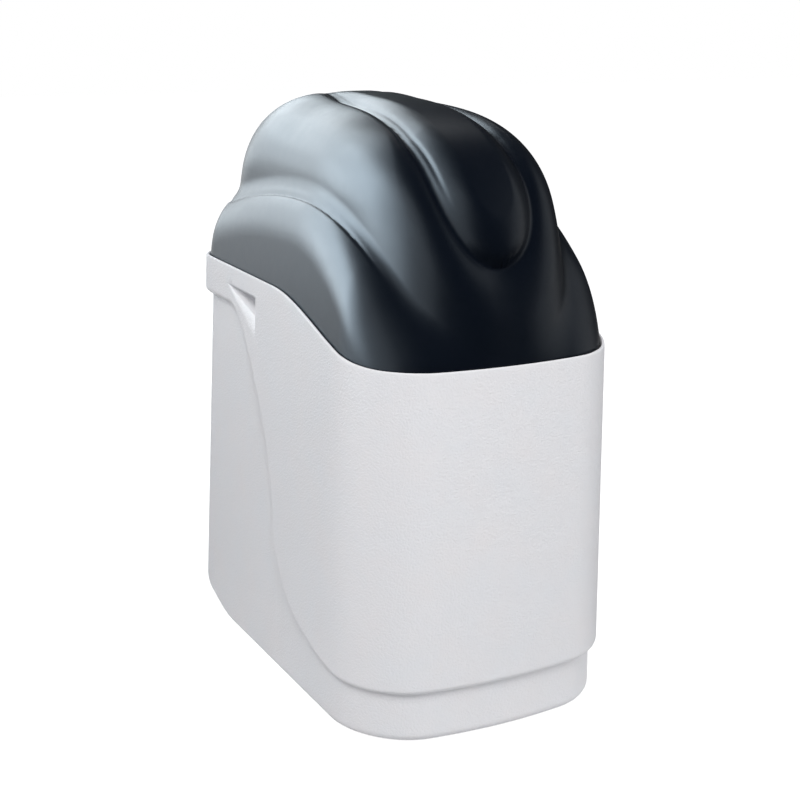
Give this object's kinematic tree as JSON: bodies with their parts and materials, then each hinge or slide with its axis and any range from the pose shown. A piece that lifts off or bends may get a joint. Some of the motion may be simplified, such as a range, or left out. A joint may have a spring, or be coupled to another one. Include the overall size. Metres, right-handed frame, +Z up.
{
  "type": "water softener",
  "caption": "Cabinet water softener: pale moulded salt cabinet with a black sculpted lift-off hood over a resin vessel, control valve, brine well and pipe bypass.",
  "frame": {"origin": "middle of the base, where the cabinet stands on the floor", "axes": "+Z is up, the front faces -Y, and +X is to the right seen from the front"},
  "size_m": [0.3424, 0.6023, 0.672],
  "materials": {
    "cabinet_white": "satin, fine moulded grain",
    "hood_black": "satin, fine moulded grain",
    "vessel_blue": "wound glass fibre under a smooth resin",
    "boot_black": "moulded",
    "resin_amber": "fine beads",
    "natural_plastic": "moulded, unpigmented",
    "valve_grey": "glass filled, dull",
    "seal_rubber": "smooth",
    "spacer_grey": "moulded",
    "piston_tan": "ground smooth",
    "rod_steel": "drawn",
    "bracket_grey": "moulded",
    "gear_white": "moulded acetal",
    "pinion_brass": "cut",
    "motor_steel": "plated can",
    "cover_black": "fine grain",
    "display_glass": "clear pane, smoked",
    "board_green": "solder mask",
    "key_grey": "soft touch",
    "socket_black": "moulded",
    "fitting_white": "moulded",
    "tube_clear": "milky tube",
    "rotor_red": "moulded",
    "nut_black": "glass filled, dull",
    "tail_brass": "machined",
    "well_white": "extruded tube",
    "float_white": "foam filled"
  },
  "bodies": {
    "cabinet": {"cabinet": "cabinet_white", "vessel_boot": "boot_black", "pressure_vessel": "vessel_blue", "resin_bed": "resin_amber", "riser_tube": "natural_plastic", "lower_strainer": "natural_plastic", "upper_strainer": "natural_plastic", "valve_body": "valve_grey", "neck_seal": "seal_rubber", "seal_stack": "spacer_grey", "drive_cap": "valve_grey", "drive_bracket": "bracket_grey", "drive_motor": "motor_steel", "control_cover": "cover_black", "display_window": "display_glass", "circuit_board": "board_green", "power_socket": "socket_black", "injector_cap": "valve_grey", "brine_elbow": "fitting_white", "drain_elbow": "valve_grey", "brine_tube": "tube_clear", "bypass_body": "valve_grey", "inlet_nut": "nut_black", "outlet_nut": "nut_black", "inlet_tail_nut": "nut_black", "outlet_tail_nut": "nut_black", "inlet_tail": "tail_brass", "outlet_tail": "tail_brass", "brine_well": "well_white", "safety_valve": "fitting_white", "air_check": "spacer_grey", "overflow_elbow": "fitting_white", "overflow_gasket": "seal_rubber", "overflow_nut": "fitting_white"},
    "hood": {"hood": "hood_black"},
    "main_gear": {"main_gear": "gear_white"},
    "piston": {"piston": "piston_tan", "piston_rod": "rod_steel"},
    "reduction_gear": {"reduction_gear": "gear_white"},
    "motor_pinion": {"motor_pinion": "pinion_brass"},
    "meter_turbine": {"meter_turbine": "natural_plastic"},
    "inlet_rotor": {"inlet_rotor": "rotor_red"},
    "outlet_rotor": {"outlet_rotor": "rotor_red"},
    "well_cap": {"brine_well_cap": "boot_black"},
    "float": {"float_rod": "rod_steel", "brine_float": "float_white"},
    "key_1": {"key_1": "key_grey"},
    "key_2": {"key_2": "key_grey"},
    "key_3": {"key_3": "key_grey"},
    "key_4": {"key_4": "key_grey"}
  },
  "joints": [
    {"name": "hood_lift", "type": "slide", "parent": "cabinet", "child": "hood", "axis": [0, 0, 1], "range_m": [0, 0.3]},
    {"name": "drive_turn", "type": "hinge", "parent": "cabinet", "child": "main_gear", "pos_m": [0, 0.048, 0.51], "axis": [0, 1, 0], "range_deg": [0, 1440]},
    {"name": "piston_slide", "type": "slide", "parent": "cabinet", "child": "piston", "axis": [0, 1, 0], "range_m": [0, 0.024]},
    {"name": "reduction_turn", "type": "hinge", "parent": "cabinet", "child": "reduction_gear", "pos_m": [0.024, 0.0375, 0.55157], "axis": [0, 1, 0], "range_deg": [-5400, 0]},
    {"name": "pinion_turn", "type": "hinge", "parent": "cabinet", "child": "motor_pinion", "pos_m": [0.062, 0.0375, 0.55157], "axis": [0, 1, 0], "range_deg": [0, 21600]},
    {"name": "turbine_spin", "type": "hinge", "parent": "cabinet", "child": "meter_turbine", "pos_m": [-0.042, 0.199, 0.51], "axis": [0, 1, 0], "continuous": true},
    {"name": "inlet_valve", "type": "hinge", "parent": "cabinet", "child": "inlet_rotor", "pos_m": [0.042, 0.2845, 0.51], "axis": [0, 0, 1], "range_deg": [0, 90]},
    {"name": "outlet_valve", "type": "hinge", "parent": "cabinet", "child": "outlet_rotor", "pos_m": [-0.042, 0.2845, 0.51], "axis": [0, 0, 1], "range_deg": [-90, 0]},
    {"name": "well_cap_lift", "type": "slide", "parent": "cabinet", "child": "well_cap", "axis": [0, 0, 1], "range_m": [0, 0.04]},
    {"name": "float_rise", "type": "slide", "parent": "cabinet", "child": "float", "axis": [0, 0, 1], "range_m": [0, 0.03]},
    {"name": "key_1_press", "type": "slide", "parent": "cabinet", "child": "key_1", "axis": [0, 1, 0], "range_m": [0, 0.0012], "stiffness_N_per_m": 300, "springref_m": -0.0005},
    {"name": "key_2_press", "type": "slide", "parent": "cabinet", "child": "key_2", "axis": [0, 1, 0], "range_m": [0, 0.0012], "stiffness_N_per_m": 300, "springref_m": -0.0005},
    {"name": "key_3_press", "type": "slide", "parent": "cabinet", "child": "key_3", "axis": [0, 1, 0], "range_m": [0, 0.0012], "stiffness_N_per_m": 300, "springref_m": -0.0005},
    {"name": "key_4_press", "type": "slide", "parent": "cabinet", "child": "key_4", "axis": [0, 1, 0], "range_m": [0, 0.0012], "stiffness_N_per_m": 300, "springref_m": -0.0005}
  ],
  "couplings": [
    {"joint": "piston_slide", "follows": "drive_turn", "m_per_rad": 0.00095493},
    {"joint": "reduction_turn", "follows": "drive_turn", "ratio": -3.75},
    {"joint": "pinion_turn", "follows": "drive_turn", "ratio": 15}
  ]
}
